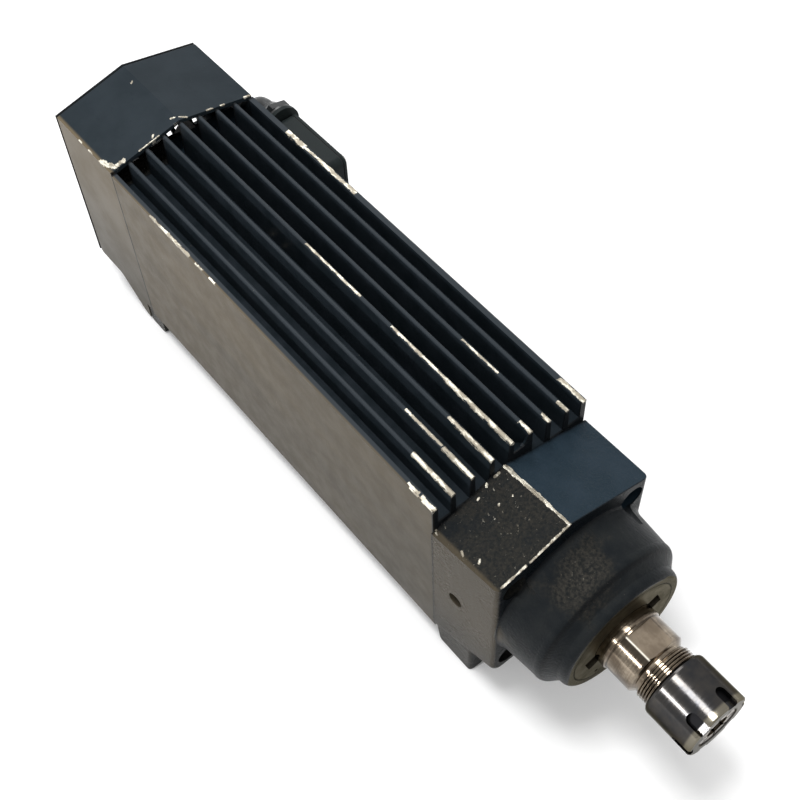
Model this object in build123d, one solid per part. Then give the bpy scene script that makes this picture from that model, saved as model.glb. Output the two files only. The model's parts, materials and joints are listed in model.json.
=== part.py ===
"""High-frequency motor spindle: a finned, self-ventilated motor with an ER20 collet nose.

Units are millimetres. +X runs along the spindle axis towards the nose, +Z is up (the finned
side) and +Y is the terminal-box side. The origin lies on the base plane, under the spindle
axis, at the middle of the front foot. Each function makes one piece.
"""
import math
import os
from build123d import *

# ---- overall ----
AXIS_Z = 60.0            # spindle axis above the base plane
HALF_W = 37.35           # half width of the motor body
FIT = 0.05               # radial clearance of a running fit
SEAT = 0.05              # gap between pieces that are pressed or bolted together
GAP = 0.3                # free gap between neighbouring pieces

# ---- motor body: an extrusion with fins above and below ----
BODY_FRONT = -11.3
BODY_LEN = 215.7
BODY_REAR = BODY_FRONT - BODY_LEN
EAVE = 45.3              # outer fin tops above the axis
RIDGE = 53.3             # middle fin top above the axis
FIN_FLOOR = 35.2         # channel floors above and below the axis
BODY_DROP = 49.3         # lower fin tips below the axis
FIN_PITCH = 9.2
FIN_TIP = 1.8
FIN_CROWN = 0.6          # height of the rounded crest of a fin
FIN_ROOT = 2.6
SIDE_WALL = 2.5
INNER_FINS = 7
WEB_TOP = 44.5           # the small gusset between two fins at the front
WEB_LEN = 9.0
WEB_LAND = 0.7
WEB_RISE = 5.6           # how far it curves up the flank of the outer fin
BORE_R = 31.0
TIE_Y = 28.9             # corner screws, from the axis
TIE_Z = 27.9
TIE_R = 3.0
TIE_DEPTH = 16.0
WIRE_HOLE_R = 5.0

# ---- front housing: a casting that narrows towards a round snout ----
HOUSING_REAR = BODY_FRONT + SEAT
HOUSING_FRONT = 23.7
REAR_HALF_W = HALF_W + 0.95
REAR_EAVE = 30.8
REAR_RIDGE = 42.2
FRONT_HALF_W = HALF_W - 0.45
FRONT_EAVE = 34.4
FRONT_RIDGE = 45.8
RIDGE_Y = -3.6
FLANGE_DROP = 37.0
EDGE_R = 5.0
UPRIGHT_R = 2.6
FOOT_REAR = -9.0         # its rear side leans back to the seam above
FOOT_EDGE_R = 1.8
FOOT_FRONT = 10.0
FOOT_HALF_W = HALF_W - 0.75
SNOUT_LEN = 29.3
FACE_X = HOUSING_FRONT + SNOUT_LEN
SNOUT_ROOT_R = 35.8
SNOUT_R = 34.6
SHOULDER_DROP = 1.2     # from the barrel to the crease where the neck begins
NECK_LEN = 3.4
NOSE_RIM_R = 29.2
RIM_LEN = 4.6
FACE_R = 27.5
CBORE_R = 5.4
CBORE_DEPTH = 14.0
SIDE_HOLE_X = 1.7
SIDE_HOLE_Z = -4.6
SIDE_HOLE_R = 3.4
SIDE_HOLE_DEPTH = 6.0
FOOT_BOLT_Y = 26.0
FOOT_BOLT_R = 2.5
FOOT_BOLT_DEPTH = 9.0

# ---- front bearings: a pair, 20 x 47 x 14, held by a slotted ring nut ----
RING_T = 6.2
FB_BORE_R = 10.0
FB_OUTER_R = 23.5
FB_WIDTH = 14.0
FB_FRONT = FACE_X - RING_T
FB_PITCH_R = (FB_BORE_R + FB_OUTER_R) / 2
FB_BALL_R = 3.75
FB_BALLS = 10
FB_PAIR = 2
RING_R = FB_OUTER_R + 1.0
RING_SLOT_W = 9.0
RING_SLOT_REACH = 4.6
RING_SLOT_DEPTH = 2.4
RING_SLOT_TURN = 20.0
LOCK_NUT_LEN = 7.0
LOCK_NUT_R = 15.0

# ---- rear bearing: 17 x 40 x 12 ----
RB_BORE_R = 8.5
RB_OUTER_R = 20.0
RB_WIDTH = 12.0
RB_FRONT = BODY_REAR - 0.6
RB_MID = RB_FRONT - RB_WIDTH / 2
RB_PITCH_R = (RB_BORE_R + RB_OUTER_R) / 2
RB_BALL_R = 3.35
RB_BALLS = 8

# ---- fan cover: folded sheet that slides over the rear shield ----
COVER_LEN = 46.6
COVER_FRONT = BODY_REAR - 0.4
COVER_REAR = COVER_FRONT - COVER_LEN
COVER_HALF_W = HALF_W - 0.35
COVER_EAVE = EAVE + 0.7
COVER_RIDGE = RIDGE + 0.8
COVER_T = 1.8
COVER_TOE = AXIS_Z - 1.6     # lower edge beside the rear foot, below the axis
COVER_HEEL = 44.0            # lower edge at the back
COVER_SLOPE_LEN = 17.8
COVER_TOE_LEN = 3.7
COVER_BEND_R = 8.0
COVER_LIP = 2.5
GRILLE_R = 29.0
GRILLE_SLOT = 2.6
GRILLE_PITCH = 4.8
GRILLE_RIB = 3.2

# ---- rear shield ----
SHIELD_LEN = 16.0
SHIELD_FLANGE = 12.0
SHIELD_REAR = BODY_REAR - SHIELD_LEN
SHIELD_FRONT = BODY_REAR - SEAT
SHIELD_HALF_W = COVER_HALF_W - COVER_T - 0.6
SHIELD_RISE = 34.0
SHIELD_HUB_R = RB_OUTER_R + 5.0
REAR_FOOT_REAR = BODY_REAR - 5.0
REAR_FOOT_FRONT = BODY_REAR + 7.0
POST_Y = 31.2
POST_Z = 13.0
POST_R = 3.2
SPRING_T = 0.6

# ---- shaft ----
SHAFT_REAR = COVER_REAR + 10.0
FAN_SEAT_R = 5.0
ROTOR_SEAT_R = 9.5
COLLAR_R = 14.1
COLLAR_END = FACE_X + 4.6
NOSE_R = COLLAR_R - 0.6
FLAT_START = COLLAR_END + 0.6
FLAT_END = FLAT_START + 11.4
FLAT_DIST = NOSE_R - 1.4
FLAT_TURN = -2.6
NECK_END = FLAT_END + 2.4
THREAD_R = 12.5
THREAD_CORE_R = THREAD_R - 0.92
NECK_R = THREAD_R - 1.0
NOSE_LEN = 38.2
SHAFT_END = FACE_X + NOSE_LEN
LAND_LEN = 2.6
LAND_START = SHAFT_END - LAND_LEN
DRILL_R = 2.5

# ---- ER20 collet and nut ----
COLLET_FACE = SHAFT_END + 8.6
COLLET_LEN = 31.5
COLLET_RIM_R = 10.5
COLLET_RIM_W = 0.8
COLLET_NOSE_LEN = 3.0
GROOVE_W = 2.0
GROOVE_R = COLLET_RIM_R - 1.2
TAPER_TOP_R = COLLET_RIM_R - 0.15
TAPER_DEG = 8.0
NOSE_CONE_DEG = 30.0
TOOL_R = 5.0
SLITS = 8
SLIT_W = 0.9
SLIT_LAND = 3.4
NUT_LEN = 22.3
NUT_FRONT = COLLET_FACE + 0.4
NUT_REAR = NUT_FRONT - NUT_LEN
NUT_WALL = 1.85
NUT_R = THREAD_R + NUT_WALL
NUT_OPEN_R = COLLET_RIM_R - 1.35
NUT_SLOTS = 6
NUT_SLOT_W = 4.8
NUT_SLOT_LEN = 8.2
NUT_SLOT_FLOOR = NUT_R - 2.15
NUT_SLOT_TURN = 9.5
CLIP_SEAT_R = COLLET_RIM_R + 1.0

# ---- motor insides ----
STATOR_LEN = 90.0
STATOR_SETBACK = 62.8
STATOR_FRONT = BODY_FRONT - STATOR_SETBACK
STATOR_REAR = STATOR_FRONT - STATOR_LEN
ROTOR_R = 16.6
STATOR_IN_R = ROTOR_R + 0.4
STATOR_SLOTS = 18
STATOR_SLOT_R = 2.1
ROTOR_BARS = 12
ROTOR_BAR_R = 1.2
END_RING_LEN = 8.0
WINDING_LEN = 19.0
WINDING_IN_R = STATOR_IN_R + 2.0
WINDING_OUT_R = BORE_R - 1.5
WINDING_BEND = 2.5
BALANCE_R = 15.0
BALANCE_LEN = 8.0
BALANCE_SETBACK = 25.0
BALANCE_FRONT = STATOR_REAR - BALANCE_SETBACK
FAN_R = 28.0
FAN_LEN = 17.0
FAN_REAR = SHAFT_REAR + 1.0
FAN_FRONT = FAN_REAR + FAN_LEN
FAN_HUB_R = 9.0
FAN_BLADES = 8
FAN_BLADE_T = 1.8
CLIP_X = FAN_REAR + 1.2
CLIP_W = 1.4
CLIP_ROOT_R = FAN_SEAT_R - 0.9

# ---- terminal box ----
BOX_REAR = BODY_REAR + 8.8
BOX_LEN = 40.2
BOX_FRONT = BOX_REAR + BOX_LEN
BOX_MID = (BOX_REAR + BOX_FRONT) / 2
BOX_TOP = 34.0
BOX_LOW = -16.0
BOX_DEPTH = 14.45
BOX_OUT = HALF_W + BOX_DEPTH
BOX_CORNER = 4.0
BOX_WALL = 2.2
LID_T = 1.4
GASKET_T = 0.5
RIM_Y = BOX_OUT - LID_T - GASKET_T
LID_SCREW_IN = 5.2
BLOCK_LEN = 8.4
BLOCK_X = BOX_FRONT - 12.8
BLOCK_LOW = -8.0
BLOCK_HIGH = 24.0
BLOCK_WAYS = 3
BLOCK_RIB = 1.2
BLOCK_BASE = 3.4
BLOCK_RISE = 2.5
STUD_R = 1.5

# ---- cable gland and its bend-protection sleeve ----
GLAND_Y = HALF_W + 8.85
GLAND_Z = BOX_TOP - 4.7
GLAND_R = 8.6            # flange and hexagon corners
GLAND_FLAT_R = 7.6
GLAND_BODY_R = 6.2
GLAND_THREAD_R = 5.2
CABLE_R = 3.0
BOSS_LEN = 2.0
BOSS_REAR = BOX_REAR - BOSS_LEN
FLANGE_T = 1.2
NUT_FACE = BOSS_REAR - FLANGE_T - GAP
HEX_LEN = 3.5
HEX_REAR = NUT_FACE - HEX_LEN
DOME_LEN = 4.8
GLAND_NUT_REAR = HEX_REAR - DOME_LEN
DOME_R = 5.1
SEAL_LEN = 3.0
BOOT_R = 4.2
BOOT_BEND = 12.0
BOOT_TAIL = 8.0

SPINDLE = Axis((0, 0, AXIS_Z), (1, 0, 0))
CORNERS = [(sy * TIE_Y, sz * TIE_Z) for sy in (-1, 1) for sz in (-1, 1)]
POSTS = [(sy * POST_Y, sz * POST_Z) for sy in (-1, 1) for sz in (-1, 1)]
LID_SCREWS = [(BOX_REAR + LID_SCREW_IN, BOX_LOW + LID_SCREW_IN),
              (BOX_REAR + LID_SCREW_IN, BOX_TOP - 13.5),
              (BOX_FRONT - LID_SCREW_IN, BOX_LOW + LID_SCREW_IN),
              (BOX_FRONT - LID_SCREW_IN, BOX_TOP - LID_SCREW_IN)]


def rod(r, x0, x1, y=0.0, z=0.0):
    """A cylinder along X; y and z are from the spindle axis."""
    at = Location(((x0 + x1) / 2, y, AXIS_Z + z), (0, 90, 0))
    return at * Cylinder(r, abs(x1 - x0))


def tube(ro, ri, x0, x1, y=0.0, z=0.0):
    return rod(ro, x0, x1, y, z) - rod(ri, x0 - 1, x1 + 1, y, z)


def across(r, y0, y1, x, z):
    """A cylinder along Y."""
    return Location((x, (y0 + y1) / 2, AXIS_Z + z), (90, 0, 0)) * Cylinder(r, abs(y1 - y0))


def block(x0, x1, y0, y1, z0, z1):
    """A box; z is from the spindle axis."""
    at = Location(((x0 + x1) / 2, (y0 + y1) / 2, AXIS_Z + (z0 + z1) / 2))
    return at * Box(abs(x1 - x0), abs(y1 - y0), abs(z1 - z0))


def outline_yz(points, x):
    """A face in the plane at x from (y, z) points."""
    wire = Polyline(*[(x, y, AXIS_Z + z) for y, z in points], close=True)
    return make_face(wire)


def prism_x(points, x0, x1):
    return extrude(outline_yz(points, x0), amount=x1 - x0, dir=(1, 0, 0))


def outline_xz(points, y):
    """A face in the plane at y from (x, z) points."""
    wire = Polyline(*[(x, y, AXIS_Z + z) for x, z in points], close=True)
    return make_face(wire)


def prism_y(points, y0, y1):
    """A solid from (x, z) points, between y0 and y1."""
    return extrude(outline_xz(points, y0), amount=y1 - y0, dir=(0, 1, 0))


def at_radius(points):
    """Points in the XZ plane from (x, radius) pairs."""
    return [(x, 0, AXIS_Z + r) for x, r in points]


def turned(points):
    """A solid of revolution about the spindle axis from (x, radius) points."""
    wire = Polyline(*at_radius(points), close=True)
    return revolve(make_face(wire), axis=SPINDLE, revolution_arc=360)


def spun(shape, angle):
    """A shape turned about the spindle axis, in degrees from +Y towards +Z."""
    return shape.rotate(SPINDLE, angle)


def save(shape, name):
    export_step(shape, "parts/" + name + ".step")


def roof(half, eave, ridge, low, ridge_y=0.0):
    return [(-half, low), (half, low), (half, eave), (ridge_y, ridge), (-half, eave)]


# ---------------------------------------------------------------- motor body
def roof_height(y):
    """Height of the two roof planes above the axis."""
    return RIDGE - (RIDGE - EAVE) * abs(y) / HALF_W


def fin(y, low, top):
    """A tapering fin with a rounded crest; it points down when top is below low."""
    way = 1 if top > low else -1
    root = FIN_ROOT / 2
    tip = FIN_TIP / 2
    flank = top - way * FIN_CROWN
    crown = [(y + tip, flank), (y + 0.8 * tip, top - way * 0.5 * FIN_CROWN),
             (y + 0.4 * tip, top - way * 0.1 * FIN_CROWN)]
    return ([(y - root, low), (y + root, low)] + crown
            + [(2 * y - a, b) for a, b in reversed(crown)])


def motor_housing():
    core = prism_x([(-HALF_W, -BODY_DROP), (HALF_W, -BODY_DROP), (HALF_W, EAVE), (-HALF_W, EAVE)],
                   BODY_REAR, BODY_FRONT)
    inside = HALF_W - SIDE_WALL
    core -= block(BODY_REAR - 1, BODY_FRONT + 1, -inside, inside, FIN_FLOOR, RIDGE)
    core -= block(BODY_REAR - 1, BODY_FRONT + 1, -inside, inside, -BODY_DROP - 1, -FIN_FLOOR)
    half = INNER_FINS // 2
    for i in range(-half, half + 1):
        y = i * FIN_PITCH
        core += prism_x(fin(y, FIN_FLOOR - 0.5, roof_height(y)), BODY_REAR, BODY_FRONT)
        core += prism_x(fin(y, -FIN_FLOOR + 0.5, -BODY_DROP), BODY_REAR, BODY_FRONT)
    core = core & prism_x(roof(HALF_W, EAVE, RIDGE, -BODY_DROP), BODY_REAR, BODY_FRONT)
    core += fin_gusset()
    core -= rod(BORE_R, BODY_REAR - 1, BODY_FRONT + 1)
    for y, z in CORNERS:
        core -= rod(TIE_R, BODY_FRONT - TIE_DEPTH, BODY_FRONT + 1, y, z)
        core -= rod(TIE_R, BODY_REAR - 1, BODY_REAR + TIE_DEPTH, y, z)
    return core - across(WIRE_HOLE_R, BORE_R - 8, HALF_W + 4, BOX_MID, 0)


def fin_gusset():
    """A sloping web between the middle fin and the next, hollowed up the outer fin's flank."""
    inner = FIN_TIP / 2 - 0.2
    outer = FIN_PITCH - FIN_TIP / 2 + 0.2
    side = [(BODY_FRONT - WEB_LEN, FIN_FLOOR - 1), (BODY_FRONT, FIN_FLOOR - 1),
            (BODY_FRONT, WEB_TOP), (BODY_FRONT - WEB_LAND, WEB_TOP)]
    top = WEB_TOP + WEB_RISE
    hollow = [(outer, WEB_TOP - 1), (outer, top), (outer - 0.4, top - 2.4), (outer - 1.0, top - 4.1),
              (outer - 2.0, top - 5.2), (outer - 3.2, WEB_TOP - 0.01), (outer - 3.2, WEB_TOP - 1)]
    return prism_y(side, inner, outer) + prism_x(hollow, BODY_FRONT - 2 * WEB_LAND, BODY_FRONT)


# ------------------------------------------------------------- front housing
def foot_bolt_hole(x, y):
    return Location((x, y, FOOT_BOLT_DEPTH / 2)) * Cylinder(FOOT_BOLT_R, FOOT_BOLT_DEPTH)


def front_housing():
    cast = housing_block()
    cast += front_foot()
    cast += snout()
    cast -= rod(BORE_R, HOUSING_REAR - 1, HOUSING_REAR + 16.15)
    cast -= rod(FB_OUTER_R - 4.0, HOUSING_REAR + 15, FB_FRONT)
    cast -= rod(FB_OUTER_R + SEAT, FB_FRONT - FB_PAIR * FB_WIDTH, FB_FRONT + 1)
    cast -= rod(RING_R + SEAT, FB_FRONT + SEAT, FACE_X + 1)
    for y, z in CORNERS:
        cast -= rod(TIE_R + GAP, HOUSING_REAR - 1, HOUSING_FRONT + 1, y, z)
        cast -= rod(CBORE_R, HOUSING_FRONT - CBORE_DEPTH, HOUSING_FRONT + 9, y, z)
    for side in (-1, 1):
        floor_y = side * (HALF_W - SIDE_HOLE_DEPTH)
        cast -= across(SIDE_HOLE_R, floor_y, floor_y + side * 10, SIDE_HOLE_X, SIDE_HOLE_Z)
        cast -= foot_bolt_hole(0, side * FOOT_BOLT_Y)
    return cast


def front_foot():
    """The bolting foot: its rear side leans, its lower and front corners are rounded."""
    top = -AXIS_Z + 20.0
    heel = HOUSING_REAR + 0.4
    side = [(FOOT_REAR, -AXIS_Z), (FOOT_FRONT, -AXIS_Z), (FOOT_FRONT, top), (heel, top),
            (heel, -BODY_DROP - 0.6)]
    foot = prism_y(side, -FOOT_HALF_W, FOOT_HALF_W)
    uprights = foot.edges().filter_by(Axis.Z).group_by(Axis.X)[-1]
    foot = foot.fillet(FOOT_EDGE_R, uprights)
    return foot.fillet(FOOT_EDGE_R, foot.edges().filter_by(Axis.Y).group_by(Axis.Z)[0].sort_by(Axis.X)[:1])


def housing_block():
    """The tapering block, lofted from the motor's outline to the nose's, with rounded edges."""
    rear = outline_yz(roof(REAR_HALF_W, REAR_EAVE, REAR_RIDGE, -BODY_DROP, RIDGE_Y), HOUSING_REAR)
    front = outline_yz(roof(FRONT_HALF_W, FRONT_EAVE, FRONT_RIDGE, -FLANGE_DROP, RIDGE_Y), HOUSING_FRONT)
    cast = loft([rear, front])
    lows = [e for e in cast.edges().filter_by_position(Axis.X, HOUSING_REAR + 5, HOUSING_FRONT - 5)
            if e.center().Z < AXIS_Z - 20 and e.length < 2 * HALF_W - 20]
    cast = cast.fillet(EDGE_R, lows)
    uprights = [e for e in cast.edges().filter_by_position(Axis.X, HOUSING_FRONT - 0.1, HOUSING_FRONT + 0.1)
                if abs(e.center().Y) > FRONT_HALF_W - 2 and e.length > 20]
    return cast.fillet(UPRIGHT_R, uprights)


def snout():
    """The round nose: a hollow root fillet, a conical barrel, a necked shoulder and a rounded rim."""
    rim_x = FACE_X - RIM_LEN
    crease = (rim_x - NECK_LEN, SNOUT_R - SHOULDER_DROP)
    shoulder = [(rim_x - 7.0, SNOUT_R), (rim_x - 4.6, SNOUT_R - 0.25), crease]
    neck = [crease, (rim_x - 2.2, SNOUT_R - 2.7), (rim_x - 1.0, NOSE_RIM_R + 1.3),
            (rim_x + 0.4, NOSE_RIM_R + 0.1)]
    rim = [neck[-1], (rim_x + 2.0, NOSE_RIM_R), (FACE_X - 0.9, NOSE_RIM_R - 0.6), (FACE_X, FACE_R)]
    root = [(FACE_X, FACE_R), (FACE_X, 0), (HOUSING_REAR + 8, 0), (HOUSING_REAR + 8, SNOUT_ROOT_R - 3),
            (HOUSING_FRONT - 1, SNOUT_ROOT_R - 3), (HOUSING_FRONT - 1, SNOUT_ROOT_R + 1.1),
            (HOUSING_FRONT, SNOUT_ROOT_R + 1.1), (HOUSING_FRONT + 1.0, SNOUT_ROOT_R + 0.4),
            (HOUSING_FRONT + 2.9, SNOUT_ROOT_R), shoulder[0]]
    edges = [Spline(*at_radius(run)) for run in (shoulder, neck, rim)]
    edges += Polyline(*at_radius(root)).edges()
    return revolve(make_face(Wire(edges)), axis=SPINDLE, revolution_arc=360)


def bearing_ring_nut():
    ring = tube(RING_R, COLLAR_R + 0.2, FB_FRONT + 2 * SEAT, FACE_X)
    ring -= rod(COLLAR_R + 2.9, FB_FRONT, FB_FRONT + 2.7)
    w = RING_SLOT_W / 2
    for side in (-1, 1):
        reach = COLLAR_R + RING_SLOT_REACH
        slot = block(FACE_X - RING_SLOT_DEPTH, FACE_X + 1, side * 13.0, side * reach, -w, w)
        ring -= spun(slot, RING_SLOT_TURN)
    pin_hole = rod(0.9, FACE_X - 1.5, FACE_X + 1, RING_R - 2.9, 0)
    return ring - spun(pin_hole, -122)


def front_seal():
    return tube(COLLAR_R + 2.8, COLLAR_R + 0.12, FB_FRONT + GAP, FB_FRONT + 2.6)


def socket_screw(x_head, length, shank_r, head_r, head_h, y, z, way=1):
    """A socket-head screw along X whose head faces +X (way 1) or -X (way -1)."""
    head = rod(head_r, x_head, x_head + way * head_h, y, z)
    shank = rod(shank_r, x_head - way * length, x_head, y, z)
    hexagon = Location((x_head + way * head_h, y, AXIS_Z + z), (0, 90, 0)) * extrude(
        RegularPolygon(head_r * 0.55, 6), amount=head_h * 0.55, both=True)
    return head + shank - hexagon


def front_housing_screws():
    x = HOUSING_FRONT - CBORE_DEPTH
    length = x - BODY_FRONT + 12.1
    head_r = CBORE_R - 0.4
    return Compound([socket_screw(x, length, TIE_R - 0.1, head_r, 2 * TIE_R, y, z) for y, z in CORNERS])


# ---------------------------------------------------------------- bearings
def ball_track(pitch_r, r, x):
    circle = Location((x, 0, AXIS_Z + pitch_r), (90, 0, 0)) * Circle(r)
    return revolve(circle, axis=SPINDLE, revolution_arc=360)


def outer_race(ro, pitch_r, ball_r, x0, x1):
    body = tube(ro, pitch_r + ball_r * 0.55, x0 + SEAT, x1 - SEAT)
    return body - ball_track(pitch_r, ball_r + FIT, (x0 + x1) / 2)


def inner_race(ri, pitch_r, ball_r, x0, x1):
    body = tube(pitch_r - ball_r * 0.55, ri + SEAT, x0 + SEAT, x1 - SEAT)
    return body - ball_track(pitch_r, ball_r + FIT, (x0 + x1) / 2)


def ball_set(pitch_r, ball_r, count, x):
    ball = Location((x, 0, AXIS_Z + pitch_r)) * Sphere(ball_r)
    return [spun(ball, i * 360 / count) for i in range(count)]


def cage(pitch_r, ball_r, count, x):
    ring = tube(pitch_r + ball_r * 0.32, pitch_r - ball_r * 0.32, x - ball_r - 0.9, x + ball_r + 0.9)
    for i in range(count):
        pocket = Location((x, 0, AXIS_Z + pitch_r)) * Cylinder(ball_r + 0.12, 3 * ball_r)
        ring -= spun(pocket, i * 360 / count)
    return ring


def front_centres():
    return [FB_FRONT - FB_WIDTH * (i + 0.5) for i in range(FB_PAIR)]


def front_bearing_outer_rings():
    w = FB_WIDTH / 2
    return Compound([outer_race(FB_OUTER_R, FB_PITCH_R, FB_BALL_R, x - w, x + w) for x in front_centres()])


def front_bearing_inner_rings():
    w = FB_WIDTH / 2
    return Compound([inner_race(FB_BORE_R, FB_PITCH_R, FB_BALL_R, x - w, x + w) for x in front_centres()])


def front_bearing_balls():
    balls = []
    for x in front_centres():
        balls += ball_set(FB_PITCH_R, FB_BALL_R, FB_BALLS, x)
    return Compound(balls)


def front_bearing_cages():
    return Compound([cage(FB_PITCH_R, FB_BALL_R, FB_BALLS, x) for x in front_centres()])


def rear_bearing_outer_ring():
    return outer_race(RB_OUTER_R - SEAT, RB_PITCH_R, RB_BALL_R, RB_FRONT - RB_WIDTH, RB_FRONT)


def rear_bearing_inner_ring():
    return inner_race(RB_BORE_R, RB_PITCH_R, RB_BALL_R, RB_FRONT - RB_WIDTH, RB_FRONT)


def rear_bearing_balls():
    return Compound(ball_set(RB_PITCH_R, RB_BALL_R, RB_BALLS, RB_MID))


def rear_bearing_cage():
    return cage(RB_PITCH_R, RB_BALL_R, RB_BALLS, RB_MID)


def preload_spring():
    """A cupped spring washer behind the rear bearing's outer ring."""
    rear = RB_FRONT - RB_WIDTH
    ro = RB_OUTER_R - 0.6
    ri = RB_OUTER_R - 3.4
    return turned([(rear - 0.9, ro), (rear - 0.9 + SPRING_T, ro), (rear - SEAT, ri), (rear - SPRING_T, ri)])


# --------------------------------------------------------------- rear shield
def rear_shield():
    back = SHIELD_FRONT - SHIELD_FLANGE + SEAT
    plate = block(back, SHIELD_FRONT, -SHIELD_HALF_W, SHIELD_HALF_W, -SHIELD_RISE, SHIELD_RISE)
    plate = plate.fillet(EDGE_R, plate.edges().filter_by(Axis.X))
    plate += rod(SHIELD_HUB_R, SHIELD_REAR, SHIELD_FRONT)
    leg = SHIELD_HALF_W - 1.0
    for side in (-1, 1):
        plate += block(back, SHIELD_FRONT, side * (leg - 13.6), side * leg, -BODY_DROP - 1, -SHIELD_RISE + 6)
    foot = block(REAR_FOOT_REAR, REAR_FOOT_FRONT, -FOOT_HALF_W, FOOT_HALF_W, -AXIS_Z, -BODY_DROP - SEAT)
    plate += foot.fillet(1.5, foot.edges().filter_by(Axis.Y).group_by(Axis.Z)[0])
    for y, z in POSTS:
        plate += rod(POST_R, COVER_REAR + COVER_T + SEAT, back + 1, y, z)
        plate -= rod(POST_R / 2, COVER_REAR - 1, COVER_REAR + 14, y, z)
    plate -= rod(RB_OUTER_R, RB_FRONT - RB_WIDTH - 1.0, SHIELD_FRONT + 1)
    plate -= rod(RB_PITCH_R - 1.25, SHIELD_REAR - 1, SHIELD_FRONT)
    for y, z in CORNERS:
        plate -= rod(TIE_R + GAP, SHIELD_REAR - 1, SHIELD_FRONT + 1, y, z)
        plate -= rod(CBORE_R, SHIELD_REAR - 1, SHIELD_REAR + 8, y, z)
    for side in (-1, 1):
        plate -= foot_bolt_hole((REAR_FOOT_REAR + REAR_FOOT_FRONT) / 2, side * FOOT_BOLT_Y)
    return plate


def rear_shield_screws():
    x = SHIELD_REAR + 8
    length = BODY_REAR - x + 14
    return Compound([socket_screw(x, length, TIE_R - 0.1, CBORE_R - 0.4, 5.0, y, z, -1) for y, z in CORNERS])


# ----------------------------------------------------------------- fan cover
def cover_side(inset):
    """The cover's side outline: open in front, with a curved slope under the back."""
    rear = COVER_REAR + inset
    front = COVER_FRONT + inset
    toe_x = REAR_FOOT_REAR - GAP + (1.0 if inset else 0.0)
    bend_x = REAR_FOOT_REAR - GAP - COVER_TOE_LEN
    heel_x = bend_x - COVER_SLOPE_LEN
    front_low = -AXIS_Z if inset else -BODY_DROP + 0.8
    heel = -COVER_HEEL + inset
    toe = -COVER_TOE + inset
    face = outline_xz([(front, AXIS_Z), (front, front_low), (toe_x, front_low), (toe_x, toe),
                       (bend_x, toe), (heel_x, heel), (rear + COVER_LIP, heel),
                       (rear, heel + COVER_LIP), (rear, AXIS_Z)], 0).face()
    bends = [v for v in face.vertices() if heel_x - 0.1 < v.X < bend_x + 0.1]
    return face.fillet_2d(COVER_BEND_R, bends)


def cover_solid(inset):
    """The cover's outer block, or its hollow when inset by the sheet thickness."""
    half = COVER_HALF_W - inset
    pent = roof(half, COVER_EAVE - inset, COVER_RIDGE - inset, -AXIS_Z)
    long = prism_x(pent, COVER_REAR + inset, COVER_FRONT + inset)
    return long & extrude(cover_side(inset), amount=half, dir=(0, 1, 0), both=True)


def fan_cover():
    shell = cover_solid(0)
    rear_top = [e for e in shell.edges().filter_by_position(Axis.X, COVER_REAR - 0.1, COVER_REAR + 0.1)
                if e.center().Z > AXIS_Z - 10]
    shell = shell.fillet(1.5, rear_top)
    shell -= cover_solid(COVER_T)
    for i in range(1, int(GRILLE_R / GRILLE_PITCH) + 1):
        r = i * GRILLE_PITCH
        shell -= tube(r + GRILLE_SLOT / 2, r - GRILLE_SLOT / 2, COVER_REAR - 1, COVER_REAR + COVER_T + 0.5)
    reach = GRILLE_R + 3
    rib = block(COVER_REAR, COVER_REAR + COVER_T, -reach, reach, -GRILLE_RIB / 2, GRILLE_RIB / 2)
    for i in range(3):
        shell += spun(rib, i * 60)
    for y, z in POSTS:
        shell -= rod(POST_R / 2 + 0.5, COVER_REAR - 1, COVER_REAR + COVER_T + 1, y, z)
    return shell


def cross_recess(at, reach, width, depth):
    """Two crossed grooves for a screwdriver, on a head that faces +Z before it is placed."""
    groove = Box(2 * reach, width, 2 * depth) + Box(width, 2 * reach, 2 * depth)
    return at * groove


def fan_cover_screws():
    out = []
    for y, z in POSTS:
        head = rod(POST_R + 0.2, COVER_REAR - 2.0, COVER_REAR - SEAT, y, z)
        head += rod(POST_R / 2 - 0.1, COVER_REAR - 0.5, COVER_REAR + 12, y, z)
        face = Location((COVER_REAR - 2.0, y, AXIS_Z + z), (0, -90, 0))
        out.append(head - cross_recess(face, 2.4, 0.8, 0.9))
    return Compound(out)


# -------------------------------------------------------------- motor insides
def stator_core():
    core = tube(BORE_R - SEAT, STATOR_IN_R, STATOR_REAR, STATOR_FRONT)
    slot_at = STATOR_IN_R + STATOR_SLOT_R + 2.4
    for i in range(STATOR_SLOTS):
        slot = rod(STATOR_SLOT_R, STATOR_REAR - 1, STATOR_FRONT + 1, slot_at, 0)
        core -= spun(slot, i * 360 / STATOR_SLOTS)
    return core


def winding(x0, way):
    """The end turns as one rounded ring; way is +1 or -1 along X."""
    end = x0 + way * WINDING_LEN
    bend = end - way * WINDING_BEND
    return turned([(x0, WINDING_IN_R), (bend, WINDING_IN_R), (end, WINDING_IN_R + WINDING_BEND),
                   (end, WINDING_OUT_R - WINDING_BEND), (bend, WINDING_OUT_R), (x0, WINDING_OUT_R)])


def front_winding():
    return winding(STATOR_FRONT + SEAT, 1)


def rear_winding():
    return winding(STATOR_REAR - SEAT, -1)


def rotor_core():
    core = tube(ROTOR_R, ROTOR_SEAT_R + SEAT, STATOR_REAR, STATOR_FRONT)
    for i in range(ROTOR_BARS):
        bar = rod(ROTOR_BAR_R, STATOR_REAR - 1, STATOR_FRONT + 1, ROTOR_R - 2 * ROTOR_BAR_R, 0)
        core -= spun(bar, i * 360 / ROTOR_BARS)
    return core


def rotor_end_rings():
    ro = ROTOR_R - 0.6
    ri = ROTOR_SEAT_R + SEAT
    return Compound([tube(ro, ri, STATOR_FRONT + SEAT, STATOR_FRONT + END_RING_LEN),
                     tube(ro, ri, STATOR_REAR - END_RING_LEN, STATOR_REAR - SEAT)])


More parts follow.
